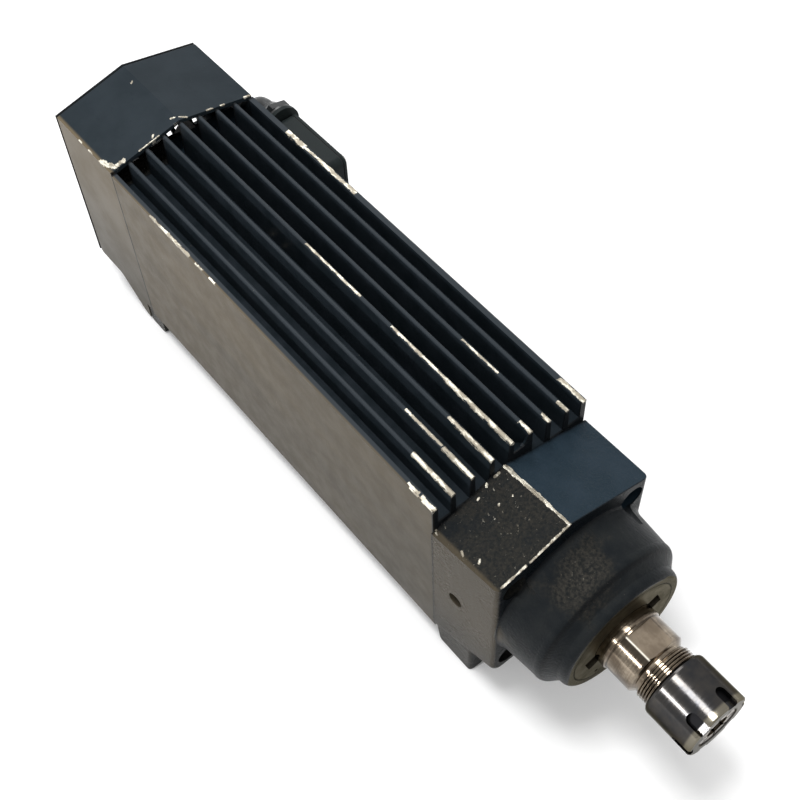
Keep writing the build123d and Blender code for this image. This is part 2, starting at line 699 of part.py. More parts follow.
def balance_ring():
    ring = tube(BALANCE_R, ROTOR_SEAT_R + SEAT, BALANCE_FRONT - BALANCE_LEN, BALANCE_FRONT)
    mid_r = (BALANCE_R + ROTOR_SEAT_R) / 2
    for a in (20, 145):
        ring -= spun(rod(1.6, BALANCE_FRONT - BALANCE_LEN / 2, BALANCE_FRONT + 1, mid_r, 0), a)
    return ring


def shaft_lock_nut():
    front = FB_FRONT - FB_PAIR * FB_WIDTH - SEAT
    rear = front + SEAT - LOCK_NUT_LEN
    ring = tube(LOCK_NUT_R, FB_BORE_R + SEAT, rear, front)
    for i in range(4):
        ring -= spun(block(rear - 1, front + 1, LOCK_NUT_R - 2.0, LOCK_NUT_R + 1, -2, 2), i * 90 + 45)
    return ring


def cooling_fan():
    fan = tube(FAN_HUB_R, FAN_SEAT_R + SEAT, FAN_REAR + 3.0, FAN_FRONT)
    fan += tube(FAN_R, FAN_HUB_R - 1.0, FAN_FRONT - 2.0, FAN_FRONT)
    t = FAN_BLADE_T / 2
    for i in range(FAN_BLADES):
        blade = block(FAN_REAR, FAN_FRONT - 1.0, FAN_HUB_R - 1.0, FAN_R - 0.5, -t, t)
        fan += spun(blade, i * 360 / FAN_BLADES)
    return fan


def fan_clip():
    ring = tube(FAN_SEAT_R + 2.4, CLIP_ROOT_R + 0.1, CLIP_X + 0.2, CLIP_X + CLIP_W - 0.2)
    return ring - block(CLIP_X - 1, CLIP_X + CLIP_W + 1, 0, FAN_SEAT_R + 4, -2.6, 2.6)


# --------------------------------------------------------------------- shaft
def taper_r(x):
    """Radius of the collet's long taper at x."""
    top = COLLET_FACE - COLLET_NOSE_LEN - COLLET_RIM_W - GROOVE_W
    return TAPER_TOP_R - (top - x) * math.tan(math.radians(TAPER_DEG))


def spindle_shaft():
    lock = FB_FRONT - FB_PAIR * FB_WIDTH - LOCK_NUT_LEN - 1.0
    step = FAN_FRONT + 1
    fan_end = [(SHAFT_REAR, 0), (SHAFT_REAR, FAN_SEAT_R - 0.6), (SHAFT_REAR + 0.6, FAN_SEAT_R),
               (CLIP_X, FAN_SEAT_R), (CLIP_X, CLIP_ROOT_R), (CLIP_X + CLIP_W, CLIP_ROOT_R),
               (CLIP_X + CLIP_W, FAN_SEAT_R), (step, FAN_SEAT_R)]
    seats = [(step, RB_BORE_R - 0.5), (step + 0.5, RB_BORE_R), (RB_FRONT, RB_BORE_R),
             (RB_FRONT, ROTOR_SEAT_R), (lock, ROTOR_SEAT_R), (lock, FB_BORE_R), (FB_FRONT, FB_BORE_R)]
    nose = [(FB_FRONT, COLLAR_R - 0.4), (FB_FRONT + 0.4, COLLAR_R), (COLLAR_END - 0.4, COLLAR_R),
            (COLLAR_END, NOSE_R), (FLAT_END - 0.4, NOSE_R), (FLAT_END + 0.2, NOSE_R - 0.6),
            (FLAT_END + 1.2, NECK_R + 0.2), (FLAT_END + 1.6, NECK_R), (NECK_END, NECK_R)]
    thread = [(NECK_END, THREAD_CORE_R), (LAND_START, THREAD_CORE_R), (LAND_START + 0.4, THREAD_R),
              (SHAFT_END - 0.5, THREAD_R), (SHAFT_END, THREAD_R - 0.5), (SHAFT_END, 0)]
    shaft = turned(fan_end + seats + nose + thread)
    for way in (1, -1):
        flat = block(FLAT_START, FLAT_END + 0.6, -NOSE_R - 1, NOSE_R + 1, way * FLAT_DIST, way * (NOSE_R + 5))
        shaft -= spun(flat, FLAT_TURN)
    return shaft - collet_seat()


def collet_seat():
    """The hollow in the nose: the collet's taper, the room behind it and a narrow drilling."""
    tail = COLLET_FACE - COLLET_LEN - 1.5
    drill_end = FB_FRONT + 2.1
    mouth_r = taper_r(SHAFT_END) + FIT
    return turned([(drill_end, 0), (drill_end, DRILL_R), (tail - 8.0, DRILL_R), (tail - 8.0, TOOL_R + 0.5),
                   (tail - 1.0, TOOL_R + 0.5), (tail, taper_r(tail) + FIT), (SHAFT_END, mouth_r),
                   (SHAFT_END + 1, mouth_r), (SHAFT_END + 1, 0)])


# ------------------------------------------------------------ collet and nut
def collet():
    rear = COLLET_FACE - COLLET_LEN
    rim_front = COLLET_FACE - COLLET_NOSE_LEN
    rim_rear = rim_front - COLLET_RIM_W
    top = rim_rear - GROOVE_W
    face_r = COLLET_RIM_R - COLLET_NOSE_LEN * math.tan(math.radians(NOSE_CONE_DEG))
    body = turned([(rear, TOOL_R), (rear, taper_r(rear) - 0.4), (rear + 0.4, taper_r(rear + 0.4)),
                   (top, taper_r(top)), (top, GROOVE_R), (rim_rear, GROOVE_R), (rim_rear, COLLET_RIM_R),
                   (rim_front, COLLET_RIM_R), (COLLET_FACE, face_r), (COLLET_FACE, TOOL_R)])
    w = SLIT_W / 2
    inner = TOOL_R - 2.0
    outer = COLLET_RIM_R + 2.5
    for i in range(SLITS):
        a = i * 360 / SLITS
        body -= spun(block(rear + SLIT_LAND, COLLET_FACE + 1, inner, outer, -w, w), a)
        body -= spun(block(rear - 1, rim_rear + 0.2, inner, outer, -w, w), a + 180 / SLITS)
    return body


def cone_seat_r(x):
    """Radius of the nut's 30 degree seat at x."""
    rim_front = COLLET_FACE - COLLET_NOSE_LEN
    return COLLET_RIM_R + FIT + 0.02 - (x - rim_front) * math.tan(math.radians(NOSE_CONE_DEG))


def clip_span():
    """The nut clip's ends along X, inside the collet's groove."""
    rim_rear = COLLET_FACE - COLLET_NOSE_LEN - COLLET_RIM_W
    return rim_rear - GROOVE_W + 0.15, rim_rear - 0.15


def collet_nut():
    bore_r = THREAD_R + FIT
    seat_x = COLLET_FACE - COLLET_NOSE_LEN - GAP
    step_x = clip_span()[1] + SEAT
    open_x = seat_x + (cone_seat_r(seat_x) - NUT_OPEN_R) / math.tan(math.radians(NOSE_CONE_DEG))
    nut = turned([
        (NUT_REAR, bore_r + 0.5), (NUT_REAR + 0.5, bore_r), (SHAFT_END + 0.4, bore_r),
        (SHAFT_END + 0.9, CLIP_SEAT_R), (step_x, CLIP_SEAT_R), (step_x, cone_seat_r(seat_x)),
        (seat_x, cone_seat_r(seat_x)), (open_x, NUT_OPEN_R), (NUT_FRONT - 0.4, NUT_OPEN_R),
        (NUT_FRONT, NUT_OPEN_R + 0.4), (NUT_FRONT, NUT_R - 0.7), (NUT_FRONT - 0.7, NUT_R),
        (NUT_REAR + 1.6, NUT_R), (NUT_REAR + 0.7, NUT_R - 0.3), (NUT_REAR + 0.1, NUT_R - 0.9),
        (NUT_REAR, NUT_R - 1.2)])
    w = NUT_SLOT_W / 2
    end = NUT_FRONT - NUT_SLOT_LEN + w
    beyond = NUT_R + 4.0
    cut = block(end, NUT_FRONT + 1, -w, w, NUT_SLOT_FLOOR, beyond)
    cut += Location((end, 0, AXIS_Z + (NUT_SLOT_FLOOR + beyond) / 2)) * Cylinder(w, beyond - NUT_SLOT_FLOOR)
    for i in range(NUT_SLOTS):
        nut -= spun(cut, NUT_SLOT_TURN + (i - 0.5) * 360 / NUT_SLOTS)
    return nut


def nut_clip_ring():
    c0, c1 = clip_span()
    return tube(CLIP_SEAT_R - SEAT, GROOVE_R + 0.15, c0, c1)


# -------------------------------------------------------------- terminal box
def box_prism(inset, y0, y1):
    """The terminal box's rounded rectangle, inset and extruded along Y."""
    w = BOX_LEN - 2 * inset
    h = BOX_TOP - BOX_LOW - 2 * inset
    face = RectangleRounded(w, h, max(BOX_CORNER - inset, 1.0))
    at = Plane(origin=(BOX_MID, y0, AXIS_Z + (BOX_TOP + BOX_LOW) / 2), x_dir=(1, 0, 0), z_dir=(0, 1, 0))
    return extrude(at * face, amount=y1 - y0)


def terminal_box():
    base = box_prism(0, HALF_W + SEAT, RIM_Y)
    base -= box_prism(BOX_WALL, HALF_W + 2.5, RIM_Y + 1)
    for x, z in LID_SCREWS:
        base += across(3.2, HALF_W + 1, RIM_Y, x, z) & box_prism(0, HALF_W, RIM_Y)
    base += gland_rod(GLAND_R, BOSS_REAR, BOX_REAR)
    base -= gland_rod(GLAND_THREAD_R + SEAT, BOSS_REAR - 1, BOX_REAR - 0.4)
    base -= rod(CABLE_R - 0.6, BOSS_REAR, BOX_REAR + BOX_WALL + 1.2, GLAND_Y, GLAND_Z - 0.2)
    base -= across(WIRE_HOLE_R - 0.4, HALF_W - 1, HALF_W + 4, BOX_MID, 0)
    for x, z in LID_SCREWS:
        base -= across(1.3, RIM_Y - 8, RIM_Y + 1, x, z)
    return base


def terminal_gasket():
    front = RIM_Y + GASKET_T
    ring = box_prism(0.4, RIM_Y, front) - box_prism(BOX_WALL + 0.8, RIM_Y - 1, front + 1)
    for x, z in LID_SCREWS:
        ring += across(3.0, RIM_Y, front, x, z) & box_prism(0.4, RIM_Y - 1, front + 1)
    for x, z in LID_SCREWS:
        ring -= across(1.6, RIM_Y - 1, front + 1, x, z)
    return ring


def terminal_lid():
    lid = box_prism(0, RIM_Y + GASKET_T, BOX_OUT)
    for x, z in LID_SCREWS:
        lid -= across(1.6, RIM_Y, BOX_OUT + 1, x, z)
    return lid


def terminal_lid_screws():
    out = []
    top = BOX_OUT + 1.6
    for x, z in LID_SCREWS:
        screw = across(2.7, BOX_OUT + SEAT, top, x, z) + across(1.2, RIM_Y - 7, BOX_OUT + 0.5, x, z)
        face = Location((x, top, AXIS_Z + z), (-90, 0, 0))
        out.append(screw - cross_recess(face, 2.0, 0.7, 0.7))
    return Compound(out)


def terminal_block():
    """A slab with a post at each terminal and a thin wall on each side of every one."""
    x0 = BLOCK_X - BLOCK_LEN / 2
    x1 = BLOCK_X + BLOCK_LEN / 2
    floor = HALF_W + 2.6
    top = floor + BLOCK_BASE
    base = block(x0, x1, floor, top, BLOCK_LOW, BLOCK_HIGH)
    pitch = (BLOCK_HIGH - BLOCK_LOW - BLOCK_RIB) / BLOCK_WAYS
    for i in range(BLOCK_WAYS + 1):
        z = BLOCK_LOW + i * pitch
        base += block(x0, x1, top - 0.5, top + BLOCK_RISE, z, z + BLOCK_RIB)
    for z in terminal_heights():
        base -= across(STUD_R + 0.1, floor + 0.8, top + 6, BLOCK_X, z)
    return base


def terminal_heights():
    pitch = (BLOCK_HIGH - BLOCK_LOW - BLOCK_RIB) / BLOCK_WAYS
    return [BLOCK_LOW + BLOCK_RIB / 2 + (i + 0.5) * pitch for i in range(BLOCK_WAYS)]


def terminal_studs():
    foot = HALF_W + 3.5
    seat = HALF_W + 2.6 + BLOCK_BASE + SEAT
    out = []
    for z in terminal_heights():
        stud = across(STUD_R, foot, foot + 7.0, BLOCK_X, z)
        out.append(stud + across(2 * STUD_R, seat, seat + 2.35, BLOCK_X, z))
    return Compound(out)


# --------------------------------------------------------------- cable gland
def gland_rod(r, x0, x1):
    return rod(r, x0, x1, GLAND_Y, GLAND_Z)


def cable_gland():
    rear = HEX_REAR + 0.5
    body = gland_rod(GLAND_R - 0.2, BOSS_REAR - FLANGE_T, BOSS_REAR - SEAT)
    body += gland_rod(GLAND_THREAD_R, BOSS_REAR - 0.5, BOX_REAR - 0.8)
    body += gland_rod(GLAND_BODY_R, rear, BOSS_REAR - 1.0)
    body -= gland_rod(CABLE_R + 0.4, rear - 1, BOX_REAR)
    return body - gland_rod(CABLE_R + 1.8, rear - 1, rear + SEAL_LEN + SEAT)


def gland_seal():
    rear = HEX_REAR + 0.5
    return tube(CABLE_R + 1.75, CABLE_R, rear, rear + SEAL_LEN, GLAND_Y, GLAND_Z)


def gland_nut():
    """A hexagon nut that closes to a dome round the cable."""
    at = Location((HEX_REAR, GLAND_Y, AXIS_Z + GLAND_Z), (0, 90, 0))
    sides = RegularPolygon(GLAND_FLAT_R / math.cos(math.pi / 6), 6, rotation=15)
    nut = extrude(at * sides, amount=HEX_LEN) & gland_rod(GLAND_R, HEX_REAR, NUT_FACE)
    dome = [(HEX_REAR, 0), (HEX_REAR, GLAND_FLAT_R), (HEX_REAR - 1.0, GLAND_FLAT_R - 1.0),
            (HEX_REAR - 2.6, DOME_R + 0.6), (GLAND_NUT_REAR + 0.4, DOME_R), (GLAND_NUT_REAR, DOME_R - 0.4),
            (GLAND_NUT_REAR, 0)]
    nut += Location((0, GLAND_Y, GLAND_Z)) * turned(dome)
    nut -= gland_rod(GLAND_BODY_R + SEAT, HEX_REAR + 0.4, NUT_FACE + 1)
    return nut - gland_rod(CABLE_R + 0.3, GLAND_NUT_REAR - 1, NUT_FACE)


def gland_boot():
    """A bend-protection sleeve: out of the gland nut, then a quarter turn down."""
    x0 = GLAND_NUT_REAR - SEAT
    neck_x = x0 - 0.5
    z0 = AXIS_Z + GLAND_Z
    pivot = Axis((neck_x, 0, z0 - BOOT_BEND), (0, -1, 0))

    def sleeve(r, extra):
        start = Location((neck_x, GLAND_Y, z0), (0, 90, 0)) * Circle(r)
        bend = revolve(start, axis=pivot, revolution_arc=90)
        neck = gland_rod(r, neck_x, x0 + extra)
        drop = BOOT_TAIL + extra
        tail_at = Location((neck_x - BOOT_BEND, GLAND_Y, z0 - BOOT_BEND - drop / 2))
        return bend + neck + tail_at * Cylinder(r, drop)

    return sleeve(BOOT_R, 0.0) - sleeve(CABLE_R, 0.5)


PIECES = [
    motor_housing, front_housing, bearing_ring_nut, front_seal, front_housing_screws,
    front_bearing_outer_rings, front_bearing_inner_rings, front_bearing_balls, front_bearing_cages,
    rear_bearing_outer_ring, rear_bearing_inner_ring, rear_bearing_balls, rear_bearing_cage,
    preload_spring, rear_shield, rear_shield_screws, fan_cover, fan_cover_screws,
    stator_core, front_winding, rear_winding, rotor_core, rotor_end_rings, balance_ring,
    shaft_lock_nut, cooling_fan, fan_clip, spindle_shaft, collet, collet_nut, nut_clip_ring,
    terminal_box, terminal_gasket, terminal_lid, terminal_lid_screws, terminal_block,
    terminal_studs, cable_gland, gland_seal, gland_nut, gland_boot,
]

os.makedirs("parts", exist_ok=True)
for piece in PIECES:
    save(piece(), piece.__name__)
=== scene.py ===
"""Looks for the motor spindle: camera, light, chipped paint, worn metal, nose thread and cover bead."""
import json
import math

import bmesh
import bpy
from mathutils import Matrix, Vector


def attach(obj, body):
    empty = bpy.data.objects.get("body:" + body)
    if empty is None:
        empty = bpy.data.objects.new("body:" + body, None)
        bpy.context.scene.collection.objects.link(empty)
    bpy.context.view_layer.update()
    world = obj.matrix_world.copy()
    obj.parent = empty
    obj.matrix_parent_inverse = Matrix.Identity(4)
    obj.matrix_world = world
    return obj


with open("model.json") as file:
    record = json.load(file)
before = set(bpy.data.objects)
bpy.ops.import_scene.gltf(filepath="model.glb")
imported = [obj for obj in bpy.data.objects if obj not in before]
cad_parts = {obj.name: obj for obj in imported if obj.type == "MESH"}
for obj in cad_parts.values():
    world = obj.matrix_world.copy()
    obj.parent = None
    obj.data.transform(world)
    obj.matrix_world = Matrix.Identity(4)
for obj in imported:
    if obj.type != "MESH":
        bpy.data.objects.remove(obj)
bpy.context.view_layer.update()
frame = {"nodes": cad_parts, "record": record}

# ------------------------------------------------------------------- sizes (mm)
MM = 0.001
AXIS_Z = 60.0            # the spindle axis above the base plane
HALF_W = 37.35           # half width of the motor body
BODY_REAR = -227.0
BODY_FRONT = -11.3
EAVE = 45.3              # heights are measured from the axis
RIDGE = 53.3
FIN_PITCH = 9.2
OUTER_FIN_Y = 36.2
HOUSING_FRONT = 23.7     # where the snout leaves the front housing
FACE_X = 53.0            # front face of the snout
CREASE_X = 45.0          # where the snout's neck begins
CREASE_R = 33.4
SNOUT_R = 36.0           # of the snout where it meets the block
FACE_R = 27.5            # flat front face, out to its rim
RING_R = 24.5            # ring nut in the front face
BORE_R = 24.6            # bearing bore behind that face
BROW_X = 37.0            # scuffed, rough patch on top of the snout, with a painted sheen and glints
BROW_TURN = math.radians(108)
PAINTED_TURN = math.radians(120)     # where paint stays on the snout's front face
FLAT_TURN = math.radians(-2.6)
FLAT_FROM = 58.2         # wrench flats on the shaft
FLAT_TO = 69.6
FLAT_DIST = 12.1         # from the axis
NOSE_R = 13.5            # of the shaft beside the flats
COLLAR_GROOVE = 57.9     # between the shaft's collar and its flats
COVER_REAR = -274.0
COVER_HALF_W = 37.0
COVER_EAVE = 46.0
COVER_RIDGE = 54.1
COVER_HEEL = -44.0       # lower edge at the back
BEAD_R = 0.75            # rolled rear edge of the cover
NUT_FRONT = 98.3
NUT_RIM_R = 13.3         # the nut's rubbed front rim lies outside it
NUT_SLOT_R = 13.4        # floor of the nut's spanner slots
COLLET_RIM_R = 5.3       # round the tool bore
THREAD_ROOT = 11.6
THREAD_CREST = 12.5
THREAD_PITCH = 1.2
THREAD_FROM = 72.2
THREAD_TO = 88.7
THREAD_STEPS = 72        # a turn

# Colours, linear
BARE = (0.30, 0.27, 0.215)       # bare aluminium in a chip
BRIGHT = (0.74, 0.70, 0.59)      # where the chip is fresh
# dust on the smooth side, its tint also a painted warm reflection
DUST_AND_REFLECTION = (0.140, 0.111, 0.070)
# near black: dirt in the joints, and painted shade in creases, corners and along the cover's rolled edge
GRIME_AND_SHADE = (0.006, 0.007, 0.008)
BRONZE = (0.055, 0.040, 0.028)   # old oil on ground steel
OIL_TINT = (0.45, 0.44, 0.41)    # of steel seen at a shallow angle
WHITE = (1.0, 1.0, 1.0)

PAINT_SPECULAR = 0.06    # dull old paint
CHIP_METAL = 0.35        # a chip is part bare metal, part primer
CHIP_ROUGH = 0.42


def add_object(name, data):
    obj = bpy.data.objects.new(name, data)
    bpy.context.scene.collection.objects.link(obj)
    return obj


# ------------------------------------------------------------------- camera
# The pinhole camera that was fitted to the photograph, in metres.
CAMERA_LENS = 57.96      # mm
CAMERA_SENSOR = 36.0
CAMERA_AT = Vector((0.16316, -0.17655, 0.50432))
CAMERA_RIGHT = Vector((0.62907, 0.77665, -0.03296))
CAMERA_DOWN = Vector((0.63085, -0.53484, -0.56212))
CAMERA_FORWARD = Vector((-0.4542, 0.33282, -0.8264))


def make_camera():
    """Above and in front of the nose, on the smooth side."""
    data = bpy.data.cameras.new("camera")
    data.sensor_width = CAMERA_SENSOR
    data.lens = CAMERA_LENS
    data.clip_start = 0.01
    data.clip_end = 30.0
    cam = add_object("camera", data)
    turn = Matrix((CAMERA_RIGHT, -CAMERA_DOWN, -CAMERA_FORWARD)).transposed().to_4x4()
    cam.matrix_world = Matrix.Translation(CAMERA_AT) @ turn
    bpy.context.scene.camera = cam


# ------------------------------------------------------------- node helpers
SOCKETS = {"color": "Base Color", "rough": "Roughness", "metal": "Metallic",
           "spec": "Specular IOR Level", "tint": "Specular Tint",
           "glow": "Emission Strength", "glow_color": "Emission Color"}


class Net:
    """Short calls for building a material's nodes, in mm, with heights from the axis."""

    def __init__(self, name):
        self.mat = bpy.data.materials.new(name)
        self.mat.use_nodes = True
        self.tree = self.mat.node_tree
        self.bsdf = self.tree.nodes["Principled BSDF"]
        coord = self.add("ShaderNodeTexCoord").outputs["Object"]
        self.at = self.vec("SUBTRACT", self.vec("MULTIPLY", coord, (1 / MM,) * 3), (0, 0, AXIS_Z))
        self.x, self.y, self.z = self.split(self.at)
        self.radius = self.math("SQRT", self.math("ADD", self.square(self.y), self.square(self.z)))
        self.angle = self.math("ARCTAN2", self.z, self.y)

    def add(self, kind):
        return self.tree.nodes.new(kind)

    def put(self, value, socket):
        if hasattr(value, "is_output"):
            self.tree.links.new(value, socket)
        elif isinstance(value, tuple) and len(socket.default_value) == 4:
            socket.default_value = (*value, 1.0)
        else:
            socket.default_value = value

    def split(self, vector):
        n = self.add("ShaderNodeSeparateXYZ")
        self.put(vector, n.inputs[0])
        return n.outputs

    def join(self, x, y, z):
        n = self.add("ShaderNodeCombineXYZ")
        for value, socket in zip((x, y, z), n.inputs):
            self.put(value, socket)
        return n.outputs[0]

    def math(self, op, a, b=0.0, clamp=False):
        n = self.add("ShaderNodeMath")
        n.operation = op
        n.use_clamp = clamp
        self.put(a, n.inputs[0])
        self.put(b, n.inputs[1])
        return n.outputs[0]

    def square(self, a):
        return self.math("MULTIPLY", a, a)

    def near(self, value, target, reach):
        """1 where the value meets the target, falling to 0 at reach from it."""
        off = self.math("ABSOLUTE", self.math("SUBTRACT", value, target))
        return self.ramp(off, reach, 0.0)

    def line(self, value, target, reach):
        """As near, with the inner half of the reach at 1."""
        off = self.math("ABSOLUTE", self.math("SUBTRACT", value, target))
        return self.ramp(off, reach, 0.5 * reach)

    def all_of(self, *values):
        total = values[0]
        for value in values[1:]:
            total = self.math("MULTIPLY", total, value)
        return total

    def any_of(self, *values):
        total = values[0]
        for value in values[1:]:
            total = self.math("MAXIMUM", total, value)
        return total

    def vec(self, op, a, b=(0, 0, 0)):
        n = self.add("ShaderNodeVectorMath")
        n.operation = op
        self.put(a, n.inputs[0])
        self.put(b, n.inputs[1])
        return n.outputs["Value"] if op in ("LENGTH", "DISTANCE", "DOT_PRODUCT") else n.outputs[0]

    def noise(self, size, detail=3.0, rough=0.55, stretch=(1, 1, 1), coord=None):
        """Noise with lumps of about that size in mm."""
        n = self.add("ShaderNodeTexNoise")
        source = self.at if coord is None else coord
        self.put(self.vec("MULTIPLY", source, tuple(s / size for s in stretch)), n.inputs["Vector"])
        n.inputs["Scale"].default_value = 1.0
        n.inputs["Detail"].default_value = detail
        n.inputs["Roughness"].default_value = rough
        return n.outputs["Fac"]

    def ramp(self, value, low, high, out_low=0.0, out_high=1.0):
        """A smooth step between two values, also with low above high."""
        n = self.add("ShaderNodeMapRange")
        n.interpolation_type = "SMOOTHSTEP"
        for number, key in ((value, "Value"), (low, "From Min"), (high, "From Max"),
                            (out_low, "To Min"), (out_high, "To Max")):
            self.put(number, n.inputs[key])
        return n.outputs["Result"]

    def spread(self, noise, out_low=0.0, out_high=1.0):
        """The middle of a noise, widened to the whole range."""
        return self.ramp(noise, 0.3, 0.7, out_low, out_high)

    def some(self, mask, share):
        """A mask at part strength."""
        return self.math("MULTIPLY", mask, share)

    def mix(self, share, a, b):
        """A colour between a and b."""
        n = self.add("ShaderNodeMix")
        n.data_type = "RGBA"
        self.put(share, n.inputs["Factor"])
        self.put(a, n.inputs["A"] if n.inputs["A"].type == "RGBA" else n.inputs[6])
        self.put(b, n.inputs["B"] if n.inputs["B"].type == "RGBA" else n.inputs[7])
        return n.outputs[2]

    def blend(self, share, a, b):
        """A number between a and b."""
        return self.math("ADD", a, self.math("MULTIPLY", share, self.math("SUBTRACT", b, a)))

    def stroke(self, a, b, reach):
        """1 on the line from a to b, falling to 0 at reach from it."""
        along = tuple(q - p for p, q in zip(a, b))
        length = max(sum(c * c for c in along), 0.01)
        rel = self.vec("SUBTRACT", self.at, a)
        share = self.math("DIVIDE", self.vec("DOT_PRODUCT", rel, along), length, clamp=True)
        foot = self.vec("MULTIPLY", self.join(share, share, share), along)
        off = self.vec("DISTANCE", rel, foot)
        return self.math("SUBTRACT", 1.0, self.math("DIVIDE", off, reach), clamp=True)

    def strokes(self, lines):
        """The strongest of several strokes."""
        total = 0.0
        for line in lines:
            total = self.math("MAXIMUM", total, self.stroke(*line))
        return total

    def run(self, start, end, across, reach):
        """1 from x = start to end where across is 0, falling to 0 at reach."""
        off = self.math("ABSOLUTE", self.math("SUBTRACT", self.x, (start + end) / 2))
        off = self.math("MAXIMUM", self.math("SUBTRACT", off, (end - start) / 2), across)
        return self.math("SUBTRACT", 1.0, self.math("DIVIDE", off, reach), clamp=True)

    def torn(self, mark, ragged=1.9, size=2.0):
        """A chip with a ragged, broken edge where the mark is strong enough."""
        noise = self.noise(size, 5.0, 0.75, (0.5, 1.0, 1.0))
        jag = self.some(self.math("SUBTRACT", noise, 0.5), ragged)
        return self.ramp(self.math("ADD", mark, jag), 0.44, 0.52)

    def bare(self, chip, color):
        """Bare metal in the chips, fresh in some flecks."""
        fresh = self.ramp(self.noise(2.4, 3.0, 0.6, (0.5, 1.0, 1.0)), 0.44, 0.60)
        return self.mix(chip, color, self.mix(fresh, BARE, BRIGHT))

    def bump(self, height, strength, distance):
        """Bump from a height, with the distance in mm."""
        n = self.add("ShaderNodeBump")
        n.inputs["Strength"].default_value = strength
        n.inputs["Distance"].default_value = distance * MM
        self.put(height, n.inputs["Height"])
        self.put(n.outputs["Normal"], self.bsdf.inputs["Normal"])

    def set(self, **sockets):
        """Shader inputs by the short names of SOCKETS."""
        for key, value in sockets.items():
            self.put(value, self.bsdf.inputs[SOCKETS[key]])


# -------------------------------------------------------------------- paint
# Wear on the fin crests: fin from the middle one, then from x, to x, half width.
FIN_CHIPS = {
    -4: ((-26, -21, 1.2), (-18, -11, 1.5)),
    -3: ((-33, -11, 1.9),),
    -2: ((-49, -29, 1.1), (-27, -11, 1.9)),
    -1: ((-35, -25, 1.5), (-27, -11, 2.0)),
    0: ((-80, -48, 1.0), (-48, -24, 1.7), (-26, -11, 2.0), (-135, -100, 0.9)),
    1: ((-17, -11, 1.6),),
    2: ((-15, -11, 1.5), (-60, -40, 0.9)),
    3: ((-16, -11, 1.5),),
    4: ((-24, -11, 1.6), (-198, -187, 2.0), (-187, -177, 1.0), (-177, -151, 1.6)),
}
# Wear on the floor between the middle fins: from, to, half width.
CHANNEL_CHIPS = (
    ((-163, -3.5, 35.2), (-163, -3, 35.2), 1.6), ((-154, -3.6, 35.2), (-154, -3, 35.2), 1.2),
)
# Wear on the upper edge of the smooth side: from x, to x, half width.
SIDE_CHIPS = (
    (-196, -184, 1.5), (-186, -175, 1.7), (-173, -168, 1.9), (-162, -158, 1.5), (-152, -149, 1.2),
    (-24, -20, 1.0), (-17, -12, 1.1),
)


def fin_y(index):
    """Middle of a fin; the outer ones stand closer in."""
    return max(-OUTER_FIN_Y, min(OUTER_FIN_Y, index * FIN_PITCH))


def housing_paint():
    """Dark blue paint, dusty with a painted warm reflection on the smooth side, worn through on the crests by
    the nose.
    """
    net = Net("m_housing_paint")
    grain = net.noise(9.0, 4.0, 0.6)
    color = net.mix(net.spread(grain), (0.011, 0.016, 0.020), (0.018, 0.024, 0.030))
    fall = net.some(net.math("ABSOLUTE", net.y), (RIDGE - EAVE) / HALF_W)
    below = net.math("SUBTRACT", net.math("SUBTRACT", RIDGE, fall), net.z)
    # the fin crests painted lighter: a painted highlight on their rounded tops
    crest = net.ramp(below, 1.1, 0.3)
    color = net.mix(net.some(crest, 0.8), color, (0.028, 0.034, 0.040))

    # dust with a painted warm reflection on the smooth side, thinner towards the nose and the base
    streak = net.noise(30.0, 4.0, 0.6, (0.35, 1.0, 1.6))
    side = net.ramp(net.y, -HALF_W + 1.2, -HALF_W + 0.3)
    fade = net.ramp(net.x, BODY_REAR, BODY_FRONT, 0.86, 0.62)
    low = net.ramp(net.z, -48.0, 45.0, 0.72, 1.0)
    dust_and_reflection = net.all_of(side, fade, low, net.ramp(streak, 0.2, 0.75, 0.72, 1.0))
    color = net.mix(dust_and_reflection, color, DUST_AND_REFLECTION)
    # dark line at the joints with the cover and the front housing: dirt, and painted shade where the cover's
    # edge overhangs the fins
    seam_and_shade = net.any_of(net.line(net.x, BODY_REAR, 1.3), net.line(net.x, BODY_FRONT, 0.8))
    color = net.mix(net.some(seam_and_shade, 0.92), color, GRIME_AND_SHADE)

    # worn crests and edge
    mark = net.strokes(CHANNEL_CHIPS)
    for index, chips in FIN_CHIPS.items():
        across = net.math("ABSOLUTE", net.math("SUBTRACT", net.y, fin_y(index)))
        across = net.any_of(across, net.some(below, 0.8))
        for start, end, reach in chips:
            mark = net.any_of(mark, net.run(start, end, across, reach))
    edge = net.any_of(net.math("ADD", net.y, HALF_W), net.math("SUBTRACT", EAVE, net.z))
    for start, end, reach in SIDE_CHIPS:
        mark = net.any_of(mark, net.run(start, end, edge, reach))
    scuff = net.all_of(net.ramp(below, 0.8, 0.2), net.ramp(net.noise(6.0, 5.0, 0.7), 0.68, 0.74))
    chip = net.any_of(net.torn(mark), net.some(scuff, 0.6))
    color = net.bare(chip, color)
    net.set(color=color, spec=PAINT_SPECULAR, metal=net.some(chip, CHIP_METAL))
    net.set(rough=net.blend(chip, net.spread(grain, 0.34, 0.46), CHIP_ROUGH))
    height = net.math("SUBTRACT", net.noise(0.9, 2.0), net.some(chip, 1.5))
    net.bump(height, 0.25, 0.12)
    return net.mat


